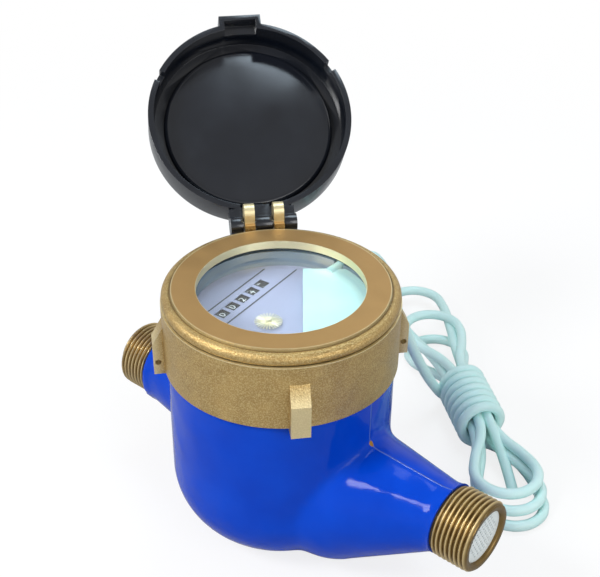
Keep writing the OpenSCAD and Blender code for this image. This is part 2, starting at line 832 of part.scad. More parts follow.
// A lug cast on the ring's wall, seen from the side: a sloped top over an upright face
module lug(turn, drilled) {
    out = ring_r + lug_out;
    low = shoulder_z + lug_low;
    rotate([0, 0, turn]) difference() {
        translate([0, lug_w / 2, 0]) rotate([90, 0, 0]) linear_extrude(lug_w)
            polygon([[ring_r - lug_root, low], [out, low], [out, low + lug_face_h],
                     [ring_r - lug_top_in, low + lug_face_h + lug_slope_h],
                     [ring_r - lug_root, low + lug_face_h + lug_slope_h]]);
        if (drilled)
            translate([ring_r + lug_out / 2 + lug_top_in, lug_w, low + seal_hole_h]) rotate([90, 0, 0])
                cylinder(h = 2 * lug_w, r = seal_hole_r, $fn = 32);
    }
}

// Move from the hinge's own frame to the meter's: X along U, Y along the pin, Z along W
module at_hinge() {
    rotate([0, 0, hinge_turn]) translate([pin_offset, 0, pin_z]) mirror([1, 0, 0]) children();
}

// Side outline of a brass ear, with U to the right and W up
module ear_outline() {
    root = pin_offset - ring_r + 0.8;
    circle(barrel_r);
    translate([-barrel_r, 0]) square([2 * barrel_r, ear_h - barrel_r]);
    translate([0, ear_h - barrel_r]) circle(barrel_r);
    polygon([[-barrel_r, 0], [root, ear_root_low], [root, ear_root_high], [0, ear_root_high]]);
}

// Stretch of the pin from y - w/2 to y + w/2
module along_pin(y, w) {
    translate([0, y + w / 2, 0]) rotate([90, 0, 0]) linear_extrude(w) children();
}

module retaining_ring() {
    color(cast_brass) difference() {
        union() {
            rotate_extrude() ring_section();
            lug(lug_turns[0], true);
            lug(lug_turns[1], false);
            lug(lug_turns[2], true);
            at_hinge() for (s = [-1, 1]) along_pin(s * ear_pitch / 2, ear_w) ear_outline();
        }
        cylinder_from(ring_z - over, flange_z, thread_bore_r);
        at_hinge() along_pin(0, pin_len + 2) circle(pin_r);
        lead_bar(can_r, ring_r + lug_out, grommet_r);
    }
}

module cable_grommet() {
    color(black_plastic) difference() {
        union() {
            lead_bar(thread_bore_r, ring_r + over, grommet_r);
            lead_bar(ring_r, ring_r + grommet_flange_t, grommet_flange_r);
            rotate([0, 0, cable_turn]) translate([ring_r + grommet_flange_t, 0, lead_z]) rotate([0, 90, 0])
                cylinder(h = grommet_nose, r1 = grommet_r, r2 = cable_r + 0.5);
        }
        lead_bar(can_r, lead_out_r + over, cable_r);
    }
}

module lid_hinge_pin() {
    color(steel) at_hinge() along_pin(0, pin_len) circle(pin_r);
}

// Side outline of a lid knuckle with its arm to the lid's wall
module knuckle_outline() {
    arm_top = rim_w + arm_t;
    circle(barrel_r);
    translate([-barrel_r, 0]) square([2 * barrel_r, arm_top - barrel_r]);
    translate([0, arm_top - barrel_r]) circle(barrel_r);
    translate([0, rim_w]) square([lid_u - lid_r + lid_wall / 2, arm_t]);
}

// Half section of the lid's cup, measured up from its rim
module lid_section() {
    difference() {
        union() {
            square([lid_r, lid_h - lid_edge_r]);
            square([lid_r - lid_edge_r, lid_h]);
            translate([lid_r - lid_edge_r, lid_h - lid_edge_r]) circle(lid_edge_r);
        }
        translate([0, -over]) square([lid_r - lid_wall, lid_h - lid_wall + over]);
    }
    translate([0, lid_h - lid_wall - lid_disc_t]) {
        square([lid_disc_r - lid_disc_edge_r, lid_disc_t + over / 2]);
        translate([0, lid_disc_edge_r]) square([lid_disc_r, lid_disc_t - lid_disc_edge_r + over / 2]);
        translate([lid_disc_r - lid_disc_edge_r, lid_disc_edge_r]) circle(lid_disc_edge_r);
    }
}

module lid_closed() {
    translate([lid_u, 0, rim_w]) difference() {
        union() {
            rotate_extrude() lid_section();
            translate([lid_r - lid_wall, -tab_w / 2, 0]) cube([lid_wall + tab_out, tab_w, tab_h]);
        }
        translate([lid_r - lid_wall - over, -tab_w / 2 + tab_wall, -over])
            cube([lid_wall + over + tab_out - tab_wall, tab_w - 2 * tab_wall, tab_h - tab_roof + over]);
        for (s = [-1, 1]) {
            rotate([0, 0, s * notch_turn]) translate([lid_r - lid_wall - over, -notch_w / 2, -over])
                cube([lid_wall + 2 * over, notch_w, notch_h + over]);
            translate([-lid_r - over, s * ear_pitch / 2 - ear_w / 2 - side_gap, -over])
                cube([lid_wall + 2.5 * over, ear_w + 2 * side_gap, slot_h + over]);
        }
    }
    difference() {
        union() {
            for (s = [-1, 1]) along_pin(s * knuckle_pitch, knuckle_w) knuckle_outline();
            along_pin(0, mid_knuckle_w) knuckle_outline();
        }
        along_pin(0, pin_len + 2) circle(pin_r + fit_gap);
    }
}

module lid() {
    color(black_plastic) at_hinge() rotate([0, -lid_open, 0]) lid_closed();
}

// Tube swept along points with a fixed number of sides, closed at both ends
module swept_tube(points, r, sides) {
    n = len(points);
    ways = [for (i = [0:n - 1]) unit(points[min(i + 1, n - 1)] - points[max(i - 1, 0)])];
    rings = [for (i = [0:n - 1]) let (a = unit(cross(ways[i], [0.6, -0.8, 0])), b = cross(ways[i], a))
        for (k = [0:sides - 1]) points[i] + r * (a * cos(k * 360 / sides) + b * sin(k * 360 / sides))];
    skin = [for (i = [0:n - 2], k = [0:sides - 1])
        let (p = i * sides + k, q = i * sides + (k + 1) % sides) [p, q, q + sides, p + sides]];
    ends = [[for (k = [sides - 1:-1:0]) k], [for (k = [0:sides - 1]) (n - 1) * sides + k]];
    polyhedron(rings, concat(skin, ends), convexity = 4);
}

function unit(v) = v / norm(v);

module cable_lead() {
    color(pale_plastic) swept_tube(
        concat([lead_start, lead_start + lead_straight * lead_way], cable_points), cable_r, cable_sides);
}

module cable_hank() {
    run = unit(hank_high - hank_low);
    turn = atan2(run[1], run[0]);
    color(pale_plastic) {
        linear_extrude(hank_h) {
            stadium(hank_low, hank_high, hank_r);
            stadium(hank_low, hank_long, hank_loop_r);
        }
        translate([hank_low[0], hank_low[1], wrap_h / 2]) rotate([0, 0, turn]) translate([wrap_at, 0, 0])
            rotate([90, 0, 90]) linear_extrude(wrap_len, center = true)
                stadium([-(wrap_w - wrap_h) / 2, 0], [(wrap_w - wrap_h) / 2, 0], wrap_h / 2);
    }
}

// Flat bar with round ends between two points
module stadium(a, b, r) {
    for (p = [a, b]) translate(p) circle(r);
    translate(a) rotate(atan2(b[1] - a[1], b[0] - a[0])) translate([0, -r]) square([norm(b - a), 2 * r]);
}

meter_body();
inlet_strainer();
measuring_chamber();
impeller_pivot();
impeller();
drive_magnet();
chamber_cover();
separator_plate();
body_seal();
register_can();
gear_plate();
follower_spindle();
follower_magnet();
star_gear();
star_indicator();
pulse_wheel();
pulse_magnet();
reduction_gear();
worm_gear();
drum_drive_wheel();
for (i = [1:drum_count])
    number_drum(i);
drum_shaft();
carry_pinions();
dial_plate();
pulse_sensor();
reed_switch();
sensor_lead();
window_glass();
window_gasket();
retaining_ring();
cable_grommet();
lid_hinge_pin();
lid();
cable_lead();
cable_hank();
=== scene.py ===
import math

import bmesh
import bpy
from mathutils import Matrix, Vector


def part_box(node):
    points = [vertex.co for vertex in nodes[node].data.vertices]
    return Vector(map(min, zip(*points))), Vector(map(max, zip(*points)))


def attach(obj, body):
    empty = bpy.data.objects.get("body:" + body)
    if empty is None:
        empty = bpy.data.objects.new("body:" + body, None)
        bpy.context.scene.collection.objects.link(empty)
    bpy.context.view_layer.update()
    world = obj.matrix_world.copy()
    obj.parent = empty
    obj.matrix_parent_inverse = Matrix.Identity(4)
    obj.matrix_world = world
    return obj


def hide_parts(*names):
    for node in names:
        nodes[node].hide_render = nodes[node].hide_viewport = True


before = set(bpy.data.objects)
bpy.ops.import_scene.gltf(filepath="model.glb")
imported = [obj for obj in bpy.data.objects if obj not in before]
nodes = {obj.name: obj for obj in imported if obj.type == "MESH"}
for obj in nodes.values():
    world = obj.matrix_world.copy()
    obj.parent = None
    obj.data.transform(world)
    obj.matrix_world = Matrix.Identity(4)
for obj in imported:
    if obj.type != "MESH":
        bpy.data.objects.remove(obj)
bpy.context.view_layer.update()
scene = bpy.context.scene
scene.view_settings.view_transform = "Standard"

# Bowl and stubs
# One brass casting, blasted and sprayed with glossy blue enamel, with the threads left bare.
# Where the stubs leave the bowl the metal runs over in soft fillets, and the skin has shallow dips.
MM = 0.001
body_low, body_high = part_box("meter_body")
PIPE_AXIS = Vector((0, 0, 40.5 * MM))
BOWL_R = body_high.y
BOWL_CORNER_R = 27 * MM
INLET_FACE = body_high.x
OUTLET_FACE = body_low.x
INLET_THREAD_LEN = 15 * MM
OUTLET_THREAD_LEN = 14 * MM
# A stub runs from a large ball in the bowl to a small one at its thread. Each is a centre and a radius.
INLET_ROOT = (Vector((28 * MM, 0, 27.3 * MM)), 27 * MM)
INLET_END = (Vector((73 * MM, 0, PIPE_AXIS.z)), 12.3 * MM)
OUTLET_ROOT = (Vector((-30 * MM, 0, 43 * MM)), 20 * MM)
OUTLET_END = (Vector((-56 * MM, 0, PIPE_AXIS.z)), 14.3 * MM)
SKIN_VOXEL = 1.15 * MM
FILLET_REACH = 8 * MM
FILLET_PASSES = 30
FOOT_H = 1 * MM
MERGE_DIST = 1e-6
CUT_DIST = 1e-7
# A noise pattern's values lie mostly between these two.
NOISE_LOW = 0.3
NOISE_HIGH = 0.7
# A Mix node's places for two colours and for what comes out of them.
COLOUR_A = 6
COLOUR_B = 7
COLOUR_OUT = 2


def linear_colour(hex_text):
    """An sRGB hex colour as the linear four numbers that a socket takes."""
    channels = [int(hex_text[i:i + 2], 16) / 255 for i in (1, 3, 5)]
    return [c / 12.92 if c <= 0.04045 else ((c + 0.055) / 1.055) ** 2.4 for c in channels] + [1]


def add_node(tree, kind, inputs=None, **settings):
    """A node with its settings, and its inputs given as values or as the sockets that feed them."""
    node = tree.nodes.new(kind)
    for name, value in settings.items():
        setattr(node, name, value)
    for name, value in (inputs or {}).items():
        if isinstance(value, bpy.types.NodeSocket):
            tree.links.new(value, node.inputs[name])
        else:
            node.inputs[name].default_value = value
    return node


def finish(name, dark, light, patch, rough, grit, depth, **sockets):
    """A material whose colour and shine drift over patches of a size, with a fine bump of another size.
    Sizes are in metres. It returns the material, its tree, its shader, its coordinates and its bump."""
    material = bpy.data.materials.new(name)
    material.use_nodes = True
    tree = material.node_tree
    shader = tree.nodes["Principled BSDF"]
    for socket, value in sockets.items():
        shader.inputs[socket.replace("_", " ")].default_value = value
    place = add_node(tree, "ShaderNodeTexCoord").outputs["Object"]
    drift = add_node(tree, "ShaderNodeTexNoise", {"Vector": place, "Scale": 1 / patch, "Detail": 3})
    colour = add_node(tree, "ShaderNodeMix", {
        "Factor": drift.outputs["Fac"], COLOUR_A: linear_colour(dark), COLOUR_B: linear_colour(light)},
        data_type="RGBA")
    tree.links.new(colour.outputs[COLOUR_OUT], shader.inputs["Base Color"])
    shine = add_node(tree, "ShaderNodeMapRange", {
        "Value": drift.outputs["Fac"], "From Min": NOISE_LOW, "From Max": NOISE_HIGH,
        "To Min": rough[0], "To Max": rough[1]})
    tree.links.new(shine.outputs[0], shader.inputs["Roughness"])
    grain = add_node(tree, "ShaderNodeTexNoise", {"Vector": place, "Scale": 1 / grit, "Detail": 2})
    bump = add_node(tree, "ShaderNodeBump", {
        "Height": grain.outputs["Fac"], "Distance": depth, "Strength": 1})
    tree.links.new(bump.outputs[0], shader.inputs["Normal"])
    return material, tree, shader, place, bump


def line_at(tree, value, centre, half, height=1):
    """A share that has its height where a value meets a line, and is nothing at half the line's width."""
    offset = add_node(tree, "ShaderNodeMath", {0: value, 1: centre}, operation="SUBTRACT")
    distance = add_node(tree, "ShaderNodeMath", {0: offset.outputs[0]}, operation="ABSOLUTE")
    return add_node(tree, "ShaderNodeMapRange", {
        "Value": distance.outputs[0], "From Min": 0, "From Max": half, "To Min": height, "To Max": 0},
        interpolation_type="SMOOTHSTEP").outputs[0]


def tint(tree, shader, share, hex_text):
    """Lays a colour over the shader's colour so far."""
    over = add_node(tree, "ShaderNodeMix", {
        "Factor": share, COLOUR_A: shader.inputs["Base Color"].links[0].from_socket,
        COLOUR_B: linear_colour(hex_text)}, data_type="RGBA")
    tree.links.new(over.outputs[COLOUR_OUT], shader.inputs["Base Color"])


def put_in(name, data):
    """A new object of the scene with that mesh, curve, lamp or camera."""
    piece = bpy.data.objects.new(name, data)
    scene.collection.objects.link(piece)
    return piece


def piece_from(net, name):
    """A new piece with the mesh that was built up in a net."""
    mesh = bpy.data.meshes.new(name)
    net.to_mesh(mesh)
    net.free()
    return put_in(name, mesh)


def merged_copy(node, name):
    """A piece with a CAD node's shape, its loose triangles joined up."""
    net = bmesh.new()
    net.from_mesh(nodes[node].data)
    bmesh.ops.remove_doubles(net, verts=net.verts, dist=MERGE_DIST)
    return piece_from(net, name)


def shaped_mesh(piece):
    """The plain mesh that an object has with its modifiers, or that its curve or text gives."""
    return bpy.data.meshes.new_from_object(piece.evaluated_get(bpy.context.evaluated_depsgraph_get()))


def settle(piece):
    """Turns a piece with its modifiers into a plain mesh."""
    mesh = shaped_mesh(piece)
    piece.modifiers.clear()
    piece.data = mesh


def dress(piece, material, body, replaced=(), sharp=35):
    """Gives a piece its material and its place in the frame, with edges sharper than an angle left crisp."""
    piece.data.materials.clear()
    piece.data.materials.append(material)
    if piece.type == "MESH":
        piece.data.shade_smooth()
        piece.data.set_sharp_from_angle(angle=math.radians(sharp))
    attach(piece, body)
    if replaced:
        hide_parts(*replaced)


def off_bowl(p):
    """Distance of a point from the outside of the plain bowl."""
    r = math.hypot(p.x, p.y)
    if p.z > BOWL_CORNER_R:
        return r - BOWL_R
    return math.hypot(r - BOWL_R + BOWL_CORNER_R, p.z - BOWL_CORNER_R) - BOWL_CORNER_R


def off_taper(p, root, end):
    """Distance of a point from the outside of a stub that tapers from a large ball to a small one."""
    (a, ra), (b, rb) = root, end
    share = max(0, min(1, (p - a).dot(b - a) / (b - a).length_squared))
    return (p - a.lerp(b, share)).length - ra + (ra - rb) * share


bowl = merged_copy("meter_body", "painted_bowl")
remesh = bowl.modifiers.new("skin", "REMESH")
remesh.mode = "VOXEL"
remesh.voxel_size = SKIN_VOXEL
settle(bowl)
# The fillets: the skin is smoothed where it is close to the bowl and to a stub at once.
fillet = bowl.vertex_groups.new(name="fillet")
for vertex in bowl.data.vertices:
    off_inlet = abs(off_taper(vertex.co, INLET_ROOT, INLET_END))
    off_outlet = abs(off_taper(vertex.co, OUTLET_ROOT, OUTLET_END))
    reach = max(min(off_inlet, off_outlet), abs(off_bowl(vertex.co))) / FILLET_REACH
    if reach < 1 and vertex.co.z > FOOT_H:
        fillet.add([vertex.index], 1 - reach * reach, "REPLACE")
soften = bowl.modifiers.new("fillet", "SMOOTH")
soften.vertex_group = "fillet"
soften.iterations = FILLET_PASSES
settle(bowl)
# The plain ends are cut off where the threads begin.
net = bmesh.new()
net.from_mesh(bowl.data)
for face, side in ((INLET_FACE - INLET_THREAD_LEN, 1), (OUTLET_FACE + OUTLET_THREAD_LEN, -1)):
    cut = bmesh.ops.bisect_plane(net, geom=net.verts[:] + net.edges[:] + net.faces[:], dist=CUT_DIST,
                                 plane_co=(face, 0, 0), plane_no=(side, 0, 0), clear_outer=True)
    rim = [e for e in cut["geom_cut"] if isinstance(e, bmesh.types.BMEdge)]
    bmesh.ops.bridge_loops(net, edges=rim)
bmesh.ops.recalc_face_normals(net, faces=net.faces[:])
net.to_mesh(bowl.data)
net.free()

# Enamel on cast brass: deep and wet-looking, with a slight orange peel and broad shallow dips.
# The mould's halves met on the pipe's upright plane and left a fine ridge, worn to the metal above each stub.
PEEL = 1.6 * MM
DIP = 9 * MM
DIP_H = 0.8 * MM
DIP_STRENGTH = 0.6
SEAM_HALF = 0.45 * MM
SEAM_H = 0.4 * MM
SEAM_STRENGTH = 0.8
SEAM_PAINTED_HIGHLIGHT = 0.35
CHIP_AT = (0, 0, 55 * MM)
CHIP_R = 1 * MM
CHIP_BARE_R = 0.7 * MM
enamel, tree, shader, place, bump = finish(
    "blue_enamel", "#0238B2", "#044CD4", patch=22 * MM, rough=(0.06, 0.14), grit=PEEL, depth=0.015 * MM,
    Specular_IOR_Level=0.12)
dips = add_node(tree, "ShaderNodeTexNoise", {"Vector": place, "Scale": 1 / DIP, "Detail": 0})
deeper = add_node(tree, "ShaderNodeBump", {
    "Height": dips.outputs["Fac"], "Distance": DIP_H, "Strength": DIP_STRENGTH,
    "Normal": bump.outputs[0]})
spot = add_node(tree, "ShaderNodeSeparateXYZ", {0: place}).outputs
ridge = add_node(tree, "ShaderNodeBump", {
    "Height": line_at(tree, spot["Y"], 0, SEAM_HALF), "Distance": SEAM_H,
    "Strength": SEAM_STRENGTH, "Normal": deeper.outputs[0]})
tree.links.new(ridge.outputs[0], shader.inputs["Normal"])
# Painted highlight: the seam's line is tinted pale, standing for light caught on the ridge.
tint(tree, shader, line_at(tree, spot["Y"], 0, SEAM_HALF, SEAM_PAINTED_HIGHLIGHT), "#8FB0F0")
along_pipe = add_node(tree, "ShaderNodeVectorMath", {0: place, 1: (0, 1, 1)}, operation="MULTIPLY")
from_chip = add_node(tree, "ShaderNodeVectorMath", {
    0: along_pipe.outputs[0], 1: CHIP_AT}, operation="DISTANCE")
chip = add_node(tree, "ShaderNodeMapRange", {
    "Value": from_chip.outputs["Value"], "From Min": CHIP_BARE_R, "From Max": CHIP_R,
    "To Min": 1, "To Max": 0}, interpolation_type="SMOOTHSTEP")
tint(tree, shader, chip.outputs[0], "#B8862E")
dress(bowl, enamel, "casing", ["meter_body"])

# Pipe threads
# Both stubs end in a three-quarter inch pipe thread, cut on a lathe after the casting was painted.
# The crests are rubbed bright and the valleys have gone brown.
THREAD_PITCH = 1.814 * MM
THREAD_CREST_R = 13.22 * MM
THREAD_DEPTH = 1.16 * MM
BROWN_DEPTH = 0.8 * THREAD_DEPTH
THREAD_FLAT = 0.15
LEAD_IN = 0.9
MOUTH_R = 9.9 * MM
MOUTH_CHAMFER = 0.7 * MM
THREAD_SEGMENTS = 96
STEPS_PER_PITCH = 10


def thread_radius(along, turn, length):
    """Radius of a thread of some length at a distance from its end face and a share of a turn."""
    wave = abs(2 * ((along / THREAD_PITCH + turn) % 1) - 1)
    flank = max(0, min(1, (1 + 2 * THREAD_FLAT) * wave - THREAD_FLAT))
    run_out = max(0, min(1, (length - along) / THREAD_PITCH))
    r = THREAD_CREST_R - THREAD_DEPTH * (1 - flank * run_out)
    return min(r, THREAD_CREST_R - THREAD_DEPTH * LEAD_IN + along)


def thread_piece(name, face, side, length):
    """A closed sleeve with the thread outside and the mouth's bore inside."""
    steps = round(length / THREAD_PITCH * STEPS_PER_PITCH)
    turns = [k / THREAD_SEGMENTS for k in range(THREAD_SEGMENTS)]
    bore = [MOUTH_R for turn in turns]
    mouth = [MOUTH_R + MOUTH_CHAMFER for turn in turns]
    rings = [(length, bore), (MOUTH_CHAMFER, bore), (0, mouth)]
    for i in range(steps + 1):
        along = length * i / steps
        rings.append((along, [thread_radius(along, turn, length) for turn in turns]))
    net = bmesh.new()
    loops = []
    for along, radii in rings:
        loop = []
        for turn, r in zip(turns, radii):
            angle = math.tau * turn
            loop.append(net.verts.new(
                PIPE_AXIS + Vector((face - side * along, r * math.cos(angle), r * math.sin(angle)))))
        loops.append(loop)
    for one, two in zip(loops, loops[1:] + loops[:1]):
        for k in range(THREAD_SEGMENTS):
            j = (k + 1) % THREAD_SEGMENTS
            net.faces.new((one[k], one[j], two[j], two[k]))
    bmesh.ops.recalc_face_normals(net, faces=net.faces[:])
    return piece_from(net, name)


# Turned brass with handling wear: brown in the valleys by distance from the pipe's axis.
turned, tree, shader, place = finish(
    "turned_brass", "#6A5430", "#8C7446", patch=3 * MM, rough=(0.28, 0.46), grit=0.5 * MM, depth=0.03 * MM,
    Metallic=0.8)[:4]
along_pipe = add_node(tree, "ShaderNodeVectorMath", {0: place, 1: (0, 1, 1)}, operation="MULTIPLY")
from_axis = add_node(tree, "ShaderNodeVectorMath", {
    0: along_pipe.outputs[0], 1: PIPE_AXIS}, operation="DISTANCE")
rubbed = add_node(tree, "ShaderNodeMapRange", {
    "Value": from_axis.outputs["Value"], "From Min": THREAD_CREST_R - BROWN_DEPTH,
    "From Max": THREAD_CREST_R}, interpolation_type="SMOOTHSTEP")
tint(tree, shader, rubbed.outputs[0], "#D8C08C")
for name, face, side, length in (("inlet_thread", INLET_FACE, 1, INLET_THREAD_LEN),
                                 ("outlet_thread", OUTLET_FACE, -1, OUTLET_THREAD_LEN)):
    dress(thread_piece(name, face, side, length), turned, "casing", ["meter_body"], sharp=60)

# Inlet strainer
# A white moulded cup pushed into the inlet, with small holes in its face that stop grit.
# Moulded acetal: milky, and half matt with soft lights.
moulded_white = finish(
    "moulded_white", "#DDE9EA", "#F4F8F8", patch=12 * MM, rough=(0.35, 0.5), grit=0.9 * MM, depth=0.015 * MM,
    Subsurface_Weight=0.1, Subsurface_Radius=(MM, MM, MM))[0]


def dress_nodes(names, material):
    """Gives CAD nodes that keep their own shape a material."""
    for name in names:
        nodes[name].data.materials.clear()
        nodes[name].data.materials.append(material)


dress_nodes(["inlet_strainer"], moulded_white)

# Measuring works
# Cup, vane wheel and cover are moulded in white plastic, and turn on a steel pivot.
# A brass plate with a rubber ring closes the wet side, and two sintered magnets couple through it.
# Ground steel: bright and clear, with hardly any grain.
ground_steel = finish(
    "ground_steel", "#8C9094", "#B4B8BC", patch=2 * MM, rough=(0.2, 0.35), grit=0.3 * MM, depth=0.004 * MM,
    Metallic=1)[0]
# Sintered ferrite: dull dark grey with a gritty face.
sintered = finish(
    "sintered_magnet", "#3A3A3E", "#56565A", patch=1.5 * MM, rough=(0.55, 0.75), grit=0.3 * MM,
    depth=0.02 * MM, Metallic=0.6)[0]
# Nitrile rubber: nearly black and matt.
rubber = finish(
    "nitrile_rubber", "#101214", "#1E2022", patch=2 * MM, rough=(0.55, 0.7), grit=0.4 * MM,
    depth=0.02 * MM)[0]
# Rolled brass sheet: yellow, clean and softly shining.
plate_brass = finish(
    "plate_brass", "#A8843C", "#C8A458", patch=6 * MM, rough=(0.25, 0.4), grit=0.4 * MM, depth=0.006 * MM,
    Metallic=1)[0]
dress_nodes(["measuring_chamber", "impeller", "chamber_cover"], moulded_white)
dress_nodes(["impeller_pivot"], ground_steel)
dress_nodes(["drive_magnet", "follower_magnet", "pulse_magnet"], sintered)
dress_nodes(["separator_plate"], plate_brass)
dress_nodes(["body_seal"], rubber)

# Register
# A grey can holds the gear train under the dial: brass plate and star wheel, white moulded wheels.
# Moulded ABS, half matt. Its dark blue-grey is painted shade: the can is drawn as dark as the shaded wall
# seen through the glass beside the dial.
can_grey_painted_shade = finish(
    "can_grey_painted_shade", "#74828E", "#8E9CA8", patch=12 * MM, rough=(0.35, 0.5), grit=0.9 * MM, depth=0.01 * MM)[0]
dress_nodes(["register_can"], can_grey_painted_shade)
dress_nodes(["pulse_wheel", "reduction_gear", "worm_gear", "drum_drive_wheel", "carry_pinions"],
            moulded_white)
dress_nodes(["gear_plate", "star_gear"], plate_brass)
dress_nodes(["follower_spindle", "drum_shaft"], ground_steel)

# Number drums
# Five moulded black drums on one shaft, with white figures printed round their rims.
# The reading runs from the units at one end to the ten thousands at the other.
# The dial sits turned in the bowl. In its own frame the row of drums runs along X.
DIAL_TURN = Matrix.Rotation(math.radians(96), 4, "Z")
shaft_low, shaft_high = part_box("drum_shaft")
DRUM_Z = (shaft_low.z + shaft_high.z) / 2
DRUM_R = DRUM_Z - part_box("number_drum_1")[0].z
DRUM_PITCH = 5.9 * MM
DRUM_ROW_Y = 16.8 * MM
DRUM_BODIES = ["units_drum", "tens_drum", "hundreds_drum", "thousands_drum", "ten_thousands_drum"]
MIDDLE_DRUM = 2
DRUM_PLACES = [(MIDDLE_DRUM - i) * DRUM_PITCH for i in range(len(DRUM_BODIES))]
SHOWN_FIGURES = [7, 4, 2, 0, 0]
FIGURE_COUNT = 10
FIGURE_H = 2.6 * MM
FIGURE_WIDEN = 1.15
FONT_FIGURE_H = 0.72
PRINT_T = 0.03 * MM
# Moulded black plastic: nearly black, half matt.
drum_black = finish(
    "drum_black", "#0A0B0D", "#16181C", patch=3 * MM, rough=(0.35, 0.5), grit=0.5 * MM, depth=0.008 * MM)[0]
# Printed ink: a flat clean white.
figure_white = finish(
    "figure_white", "#E4E8EA", "#FAFCFC", patch=1 * MM, rough=(0.45, 0.6), grit=0.3 * MM, depth=0.004 * MM)[0]


def flat_figure(text, height):
    """The mesh of a plain figure of that height, centred on the origin and a little thick."""
    font = bpy.data.curves.new("figure", "FONT")
    font.body = text
    font.align_x = "CENTER"
    font.align_y = "CENTER"
    font.size = height / FONT_FIGURE_H
    font.extrude = PRINT_T
    font.resolution_u = 3
    maker = put_in("figure", font)
    mesh = shaped_mesh(maker)
    bpy.data.objects.remove(maker)
    return mesh


figures = [flat_figure(str(i), FIGURE_H) for i in range(FIGURE_COUNT)]
for number, (body, centre, shown) in enumerate(zip(DRUM_BODIES, DRUM_PLACES, SHOWN_FIGURES), 1):
    net = bmesh.new()
    for figure in range(FIGURE_COUNT):
        start = len(net.verts)
        net.from_mesh(figures[figure])
        net.verts.ensure_lookup_table()
        turn = (shown - figure) * math.tau / FIGURE_COUNT
        for vertex in net.verts[start:]:
            angle = turn + vertex.co.y / DRUM_R
            r = DRUM_R + vertex.co.z
            vertex.co = DIAL_TURN @ Vector((
                centre + FIGURE_WIDEN * vertex.co.x, DRUM_ROW_Y + r * math.sin(angle),
                DRUM_Z + r * math.cos(angle)))
    dress(piece_from(net, f"drum_figures_{number}"), figure_white, body)
    dress_nodes([f"number_drum_{number}"], drum_black)

# Dial
# A white lacquered plate with a printed foil glued on it.
# The foil has five windows over the drums between two black rules, and a hole for the star's spindle.
dial_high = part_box("dial_plate")[1]
DIAL_TOP = dial_high.z
FOIL_MARGIN = 0.25 * MM
FOIL_R = dial_high.x - FOIL_MARGIN
FOIL_T = 0.12 * MM
FOIL_SEGMENTS = 96
WINDOW_W = 4.3 * MM
WINDOW_H = 4.2 * MM
STAR_AT = Vector((-7.7 * MM, 0, 0))
STAR_HOLE_R = 1.2 * MM
STAR_HOLE_SEGMENTS = 32
RULE_OFFSET = 5 * MM
RULE_W = 0.6 * MM
RULE_MARGIN = 2.5 * MM


def flat_shape(name, outlines, thickness, z):
    """A flat sheet in the dial's own frame, with the later outlines cut out of the first, standing on z."""
    curve = bpy.data.curves.new(name, "CURVE")
    curve.dimensions = "2D"
    curve.fill_mode = "BOTH"
    curve.extrude = thickness / 2
    for outline in outlines:
        spline = curve.splines.new("POLY")
        spline.points.add(len(outline) - 1)
        for point, (x, y) in zip(spline.points, outline):
            point.co = (x, y, 0, 1)
        spline.use_cyclic_u = True
    maker = put_in(name, curve)
    mesh = shaped_mesh(maker)
    bpy.data.objects.remove(maker)
    mesh.transform(DIAL_TURN @ Matrix.Translation((0, 0, z + thickness / 2)))
    mesh.name = name
    return put_in(name, mesh)


def ring_outline(x, y, r, count):
    """The corners of a round outline."""
    angles = [math.tau * k / count for k in range(count)]
    return [(x + r * math.cos(angle), y + r * math.sin(angle)) for angle in angles]


def box_outline(x, y, w, h):
    """The corners of a box about its middle."""
    return [(x + i * w / 2, y + j * h / 2) for i, j in ((-1, -1), (1, -1), (1, 1), (-1, 1))]


# White lacquer with a cold lavender cast, half matt.
dial_white = finish(
    "dial_lacquer", "#9A9AB8", "#ACAECA", patch=14 * MM, rough=(0.35, 0.5), grit=0.8 * MM,
    depth=0.004 * MM)[0]
# Printing ink: black and flat.
dial_ink = finish(
    "dial_ink", "#08090C", "#14161A", patch=2 * MM, rough=(0.4, 0.55), grit=0.4 * MM, depth=0.003 * MM)[0]
foil_outlines = [ring_outline(0, 0, FOIL_R, FOIL_SEGMENTS),
                 ring_outline(STAR_AT.x, 0, STAR_HOLE_R, STAR_HOLE_SEGMENTS)]
foil_outlines += [box_outline(x, DRUM_ROW_Y, WINDOW_W, WINDOW_H) for x in DRUM_PLACES]
dress(flat_shape("dial_foil", foil_outlines, FOIL_T, DIAL_TOP), dial_white, "casing")
dress_nodes(["dial_plate"], dial_white)
for side, name in ((-1, "dial_rule_low"), (1, "dial_rule_high")):
    y = DRUM_ROW_Y + side * RULE_OFFSET
    length = 2 * (math.sqrt(FOIL_R ** 2 - y ** 2) - RULE_MARGIN)
    rule = flat_shape(name, [box_outline(0, y, length, RULE_W)], PRINT_T, DIAL_TOP + FOIL_T)
    dress(rule, dial_ink, "casing")

# Star indicator
# A pressed and gilded star of fine rays on the fastest spindle, which shows the smallest flow.
# Each ray is a slim four-sided point, and a round hub joins them on the spindle.
star_low, star_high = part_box("star_indicator")
STAR_Z = (star_low.z + star_high.z) / 2
STAR_R = 4.9 * MM
STAR_RAYS = 26
RAY_IN_R = 0.9 * MM
RAY_W = 0.3 * MM
RAY_TIP_W = 0.2 * MM
RAY_SIDES = 4
HUB_H = 2.4 * MM
HUB_OVER_RAYS = 1.3
HUB_SEGMENTS = 32
